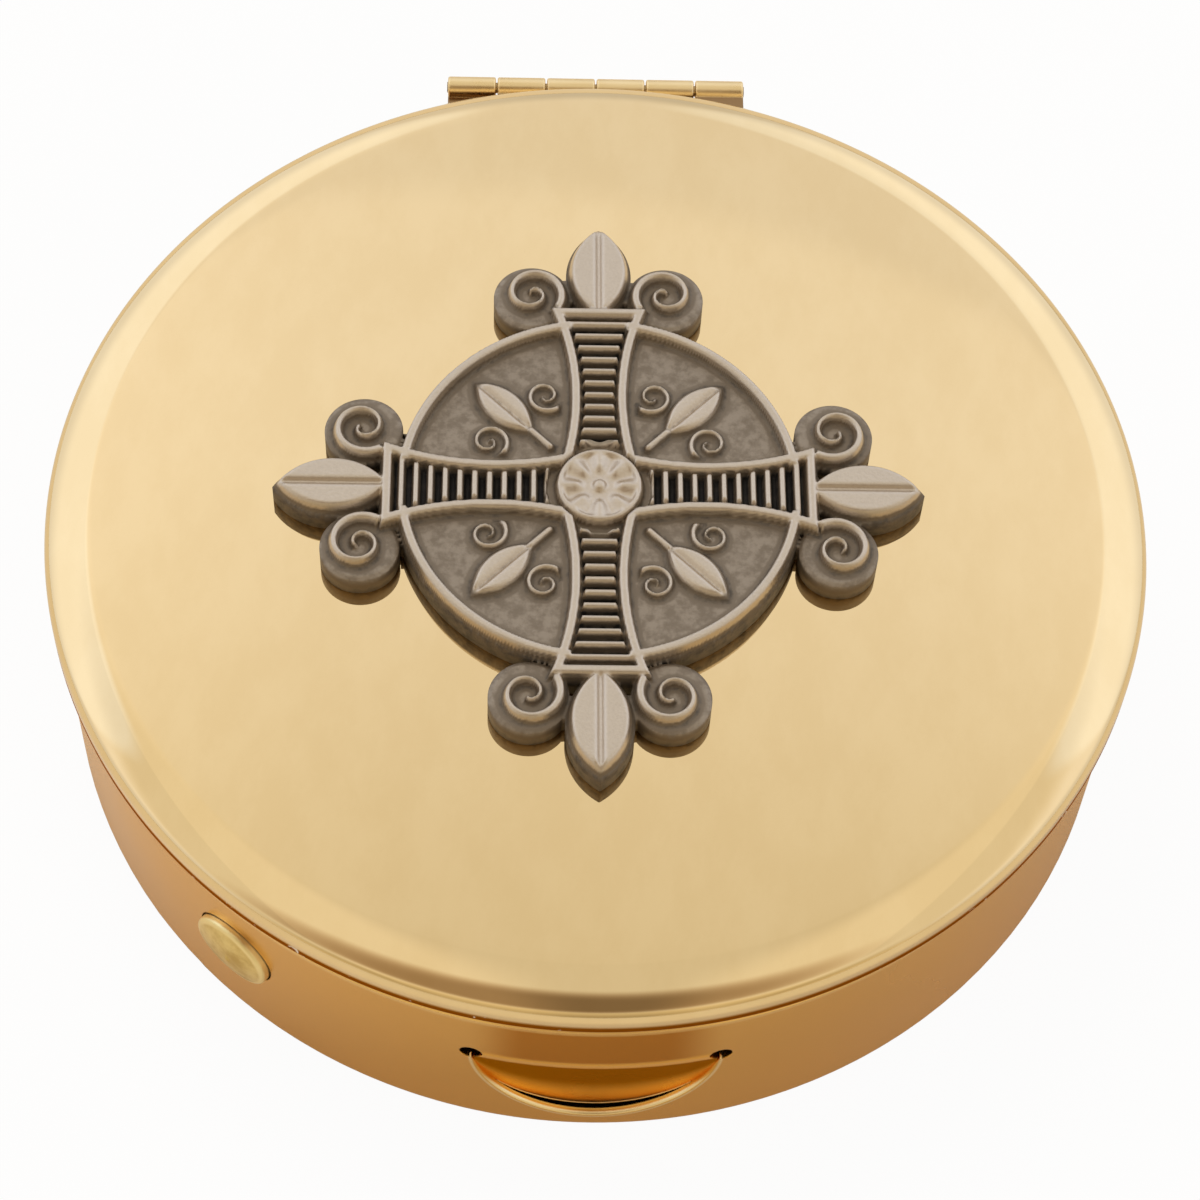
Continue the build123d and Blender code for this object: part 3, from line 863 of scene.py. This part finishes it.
def make_burnished_edge(name, material, inset, lean, share, half_width):
    """Rounded bead along the half-moon cut: on the wall's edge, or inset on the leaning tongue's edge."""
    outer = (cup_high.x - cup_low.x) / 2 / MM
    middle = outer - SHEET / 2
    x, z, radius = scoop_circle()
    reach = share * (math.acos(np.clip((z - SCOOP_HEIGHT) / radius, -1, 1)) - LIP_END_TURN)
    ring = np.linspace(0, 2 * math.pi, LIP_SIDES, endpoint=False)
    points = []
    for turn in np.linspace(-reach, reach, LIP_STEPS):
        across = math.sin(turn)
        height = z - (radius - inset) * math.cos(turn)
        azimuth = math.asin((x + (radius - inset) * across) / middle)
        outward = Vector((math.sin(azimuth), -math.cos(azimuth), 0))
        into = Vector((-across * math.cos(azimuth), -across * math.sin(azimuth), math.cos(turn)))
        back = (SCOOP_HEIGHT - height) * math.tan(lean)
        centre = outward * middle + Vector((0, back, height))
        thick = LIP_ROUND * min(1.0, (reach - abs(turn)) / LIP_TAPER_TURN + LIP_TAPER_END)
        for a in ring:
            points.append((centre + outward * half_width * math.cos(a) + into * thick * math.sin(a)) * MM)
    index = np.arange(LIP_STEPS * LIP_SIDES).reshape(LIP_STEPS, LIP_SIDES)
    after = np.roll(index, -1, 1)
    faces = np.stack([index[:-1], after[:-1], after[1:], index[1:]], -1).reshape(-1, 4).tolist()
    ends = [index[0][::-1].tolist(), index[-1].tolist()]
    mesh = bpy.data.meshes.new(name)
    mesh.from_pydata(points, [], faces + ends)
    piece = place_piece(name, smooth_shaded(mesh), material)
    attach(piece, "box")


def make_emblem(material):
    """Ornament with the fine relief that the solid leaves out."""
    piece = place_piece("emblem_casting", relief_mesh("emblem_casting"), material)
    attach(piece, "lid")
    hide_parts("emblem")


def make_catch_blade(material):
    """Catch spring from its soldered foot to the button, copied from the solid's spring and baked in place,
    with the solid's own spring hidden.
    """
    piece = place_piece("catch_spring_blade", nodes["catch_spring"].data.copy(), material)
    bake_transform(piece)
    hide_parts("catch_spring")


def dress_node(name, material):
    node = nodes[name]
    node.data.materials.clear()
    node.data.materials.append(material)


# Stage: floor, world, lamps and camera

def make_floor():
    material = bpy.data.materials.new("floor")
    material.use_nodes = True
    tree = material.node_tree
    tree.nodes.clear()
    matt = add_node(tree, "ShaderNodeBsdfDiffuse", Color=(*FLOOR_COLOUR, 1))
    glow = add_node(tree, "ShaderNodeEmission", Color=(1, 1, 1, 1), Strength=1.0)
    pale = tree.nodes.new("ShaderNodeMixShader")
    seen = tree.nodes.new("ShaderNodeLightPath").outputs["Is Camera Ray"]
    tree.links.new(times(tree, seen, FLOOR_WHITENING), pale.inputs["Fac"])
    tree.links.new(matt.outputs[0], pale.inputs[1])
    tree.links.new(glow.outputs[0], pale.inputs[2])
    out = tree.nodes.new("ShaderNodeOutputMaterial")
    tree.links.new(pale.outputs[0], out.inputs["Surface"])
    half = FLOOR_HALF * lid_radius
    level = cup_low.z - FLOOR_DROP * MM
    mesh = bpy.data.meshes.new("floor")
    corners = [(-half, -half, level), (half, -half, level), (half, half, level), (-half, half, level)]
    mesh.from_pydata(corners, [], [(0, 1, 2, 3)])
    mesh.materials.append(material)
    floor = bpy.data.objects.new("floor", mesh)
    bpy.context.scene.collection.objects.link(floor)


def view_axes():
    """Forward, right and up of the photograph's camera."""
    ce, se = math.cos(VIEW_ELEVATION), math.sin(VIEW_ELEVATION)
    forward = Vector((-math.sin(VIEW_AZIMUTH) * ce, math.cos(VIEW_AZIMUTH) * ce, -se))
    level = Vector((math.cos(VIEW_AZIMUTH), math.sin(VIEW_AZIMUTH), 0))
    steep = level.cross(forward)
    right = level * math.cos(VIEW_ROLL) + steep * math.sin(VIEW_ROLL)
    up = steep * math.cos(VIEW_ROLL) - level * math.sin(VIEW_ROLL)
    return forward, right, up


def dot(tree, vector, axis):
    node = tree.nodes.new("ShaderNodeVectorMath")
    node.operation = "DOT_PRODUCT"
    node.inputs[1].default_value = axis
    tree.links.new(vector, node.inputs[0])
    return node.outputs["Value"]


def squared(tree, value, centre, half):
    """Square of a value's distance from a centre, in half-widths."""
    share = math_node(tree, "DIVIDE", math_node(tree, "SUBTRACT", value, centre), half)
    return math_node(tree, "MULTIPLY", share, share)


def make_world():
    """White studio: plain white to the camera, and to metal a tent with a dark opening at the front."""
    world = bpy.data.worlds.new("studio")
    bpy.context.scene.world = world
    world.use_nodes = True
    tree = world.node_tree
    tree.nodes.clear()
    direction = tree.nodes.new("ShaderNodeTexCoord").outputs["Generated"]
    forward, _, up = view_axes()
    facing = dot(tree, direction, -forward)
    rise = dot(tree, direction, up)
    across = dot(tree, direction, Vector((1, 0, 0)))
    skyward = dot(tree, direction, Vector((0, 0, 1)))

    bowed = math_node(tree, "SUBTRACT", facing, squared(tree, across, 0.0, ARC_BOW))
    off_centre = math_node(tree, "ABSOLUTE", math_node(tree, "SUBTRACT", across, MIDLINE))
    slope = times(tree, math_node(tree, "ABSOLUTE", across), SIDE_SLOPE)
    side = ramp(tree, math_node(tree, "ADD", rise, slope), *SIDE_EDGE, 0.0, 1.0)
    low = ramp(tree, rise, *LOW_FADE, 1.0, 0.0)
    wide = squared(tree, across, *OPENING_ACROSS)
    tall = squared(tree, rise, *OPENING_RISE)
    opening = ramp(tree, math_node(tree, "ADD", wide, tall), *OPENING_FADE, 1.0, 0.0)
    tent = ramp(tree, bowed, *ARC_EDGE, *ARC_TONES)
    for share in (
        ramp(tree, facing, *FACING_FADE, 0.0, FACING_GAIN),
        ramp(tree, off_centre, *MIDLINE_FADE, 0.0, MIDLINE_GAIN),
        times(tree, side, SIDE_GAIN),
        ramp(tree, skyward, *SKYLINE_FADE, SKYLINE_GAIN, 0.0),
        times(tree, opening, OPENING_GAIN),
        times(tree, low, LOW_GAIN),
    ):
        tent = math_node(tree, "ADD", tent, share)
    cloth = mix_colour(tree, ramp(tree, facing, *CLOTH_FADE, 0.0, 1.0), CLOTH_BEHIND, CLOTH_FACING)
    cloth = mix_colour(tree, side, cloth, CLOTH_SIDE)
    cloth = mix_colour(tree, low, cloth, CLOTH_LOW)
    cloth = mix_colour(tree, opening, cloth, CLOTH_OPENING)

    ambient = add_node(tree, "ShaderNodeBackground", Color=(1, 1, 1, 1), Strength=AMBIENT)
    mirror = tree.nodes.new("ShaderNodeBackground")
    tree.links.new(cloth, mirror.inputs["Color"])
    tree.links.new(tent, mirror.inputs["Strength"])
    white = add_node(tree, "ShaderNodeBackground", Color=(1, 1, 1, 1), Strength=1.0)
    inner = tree.nodes.new("ShaderNodeMixShader")
    path = tree.nodes.new("ShaderNodeLightPath")
    seen = math_node(tree, "MAXIMUM", path.outputs["Is Glossy Ray"], path.outputs["Is Transmission Ray"])
    tree.links.new(seen, inner.inputs["Fac"])
    tree.links.new(ambient.outputs[0], inner.inputs[1])
    tree.links.new(mirror.outputs[0], inner.inputs[2])
    outer = tree.nodes.new("ShaderNodeMixShader")
    tree.links.new(path.outputs["Is Camera Ray"], outer.inputs["Fac"])
    tree.links.new(inner.outputs[0], outer.inputs[1])
    tree.links.new(white.outputs[0], outer.inputs[2])
    out = tree.nodes.new("ShaderNodeOutputWorld")
    tree.links.new(outer.outputs[0], out.inputs["Surface"])


def make_lamp(name, place, size, power):
    data = bpy.data.lights.new(name, "AREA")
    data.shape = "DISK"
    data.size = size
    data.energy = power
    lamp = bpy.data.objects.new(name, data)
    lamp.visible_glossy = False
    lamp.location = place
    aim = Vector((0, 0, lid_top)) - Vector(place)
    lamp.rotation_euler = aim.to_track_quat("-Z", "Y").to_euler()
    bpy.context.scene.collection.objects.link(lamp)


def make_camera():
    forward, right, up = view_axes()
    target = Vector((0, 0, lid_top))
    pixel = VIEW_DISTANCE / FOCAL_PIXELS
    place = target - forward * VIEW_DISTANCE
    place = place - right * LID_CENTRE_RIGHT_PIXELS * pixel + up * LID_CENTRE_DOWN_PIXELS * pixel
    data = bpy.data.cameras.new("photo_camera")
    data.sensor_fit = "HORIZONTAL"
    data.sensor_width = SENSOR_MM
    data.lens = SENSOR_MM * FOCAL_PIXELS / PHOTO_PIXELS
    data.clip_start = CAMERA_NEAR
    camera = bpy.data.objects.new("photo_camera", data)
    turn = Matrix((right, up, -forward)).transposed()
    camera.matrix_world = Matrix.Translation(place) @ turn.to_4x4()
    bpy.context.scene.collection.objects.link(camera)
    bpy.context.scene.camera = camera


# The object

make_lid(polished_gilt())
body_gilt = satin_gilt()
dress_node("body_cup", body_gilt)
make_burnished_edge("scoop_lip", body_gilt, 0, 0, 1.0, SHEET / 2 + LIP_PROUD)
tongue_half = SHEET / 2 + TONGUE_PROUD
make_burnished_edge("tongue_edge", body_gilt, TONGUE_INSET, SCOOP_TILT, TONGUE_SHARE, tongue_half)
hinge_gilt = hinge_metal()
for name in ("body_hinge_leaf", "lid_hinge_leaf", "catch_keeper"):
    dress_node(name, hinge_gilt)
dress_node("hinge_pin", plain_metal("pin_brass", PIN_DULL, PIN_BRIGHT, 0.35, 0.05))
dress_node("push_button", button_metal())
make_catch_blade(plain_metal("spring_bronze", SPRING_DULL, SPRING_BRIGHT, 0.3, 0.06))
make_emblem(antique_pewter())

make_floor()
make_world()
make_lamp("top_soft", TOP_LAMP, TOP_SIZE, TOP_POWER)
make_lamp("front_soft", FRONT_LAMP, FRONT_SIZE, FRONT_POWER)
make_camera()
bpy.context.scene.view_settings.view_transform = "Standard"
